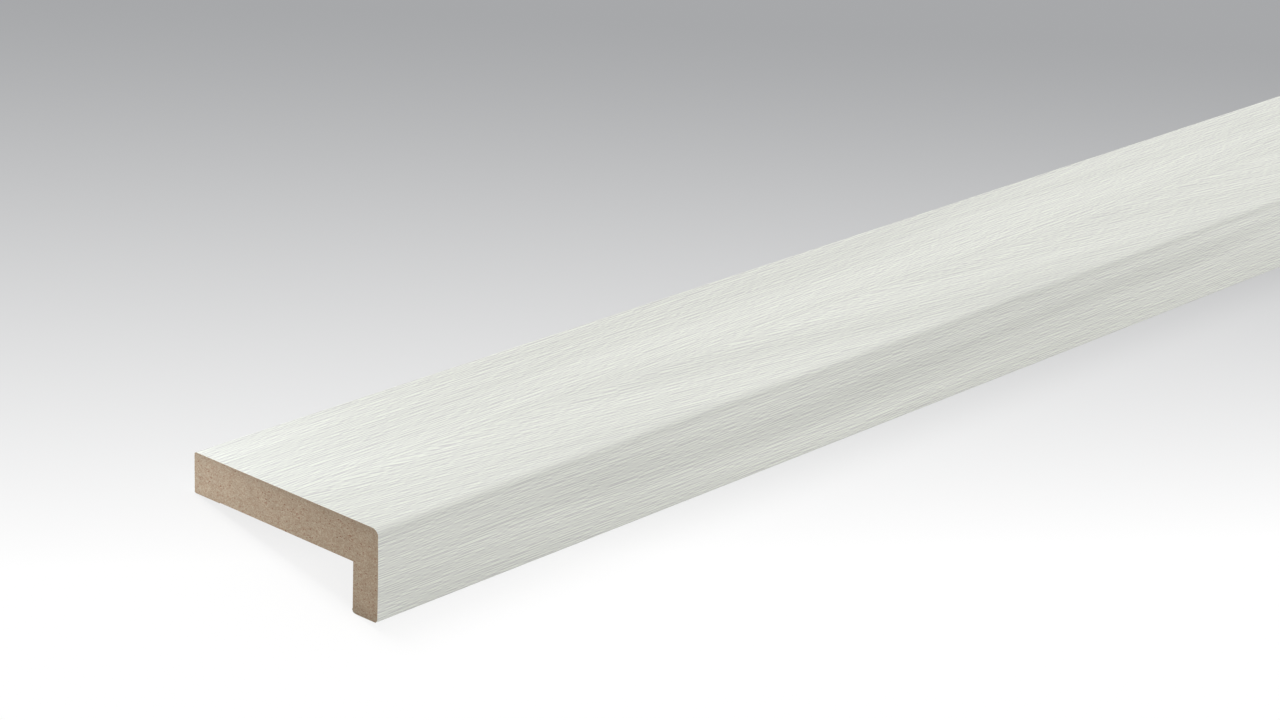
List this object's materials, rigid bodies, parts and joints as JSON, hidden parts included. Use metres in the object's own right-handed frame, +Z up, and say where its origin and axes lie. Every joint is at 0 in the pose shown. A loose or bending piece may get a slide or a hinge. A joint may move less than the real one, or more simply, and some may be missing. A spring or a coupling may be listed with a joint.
{
  "type": "angle cover strip",
  "caption": "L-section cover strip of milled fibreboard wrapped in a pale wood-grain film, bare on its inner faces and sawn ends, that hides the edge of a panel or the joint at a corner.",
  "frame": {"origin": "on the floor below the middle of the strip as it lies, the bottom centre of its box", "axes": "+X along the strip, away from the sawn end that the picture shows; +Y from the front face to the back edge; +Z up. The strip lies tipped back by about 13 degrees, on the heel of its short leg and on its back edge"},
  "size_m": [2.38, 0.063, 0.0226],
  "materials": {
    "mdf": "matte",
    "decor_film": "satin"
  },
  "bodies": {
    "root": {"mdf_core": "mdf", "decor_film": "decor_film"}
  },
  "joints": []
}
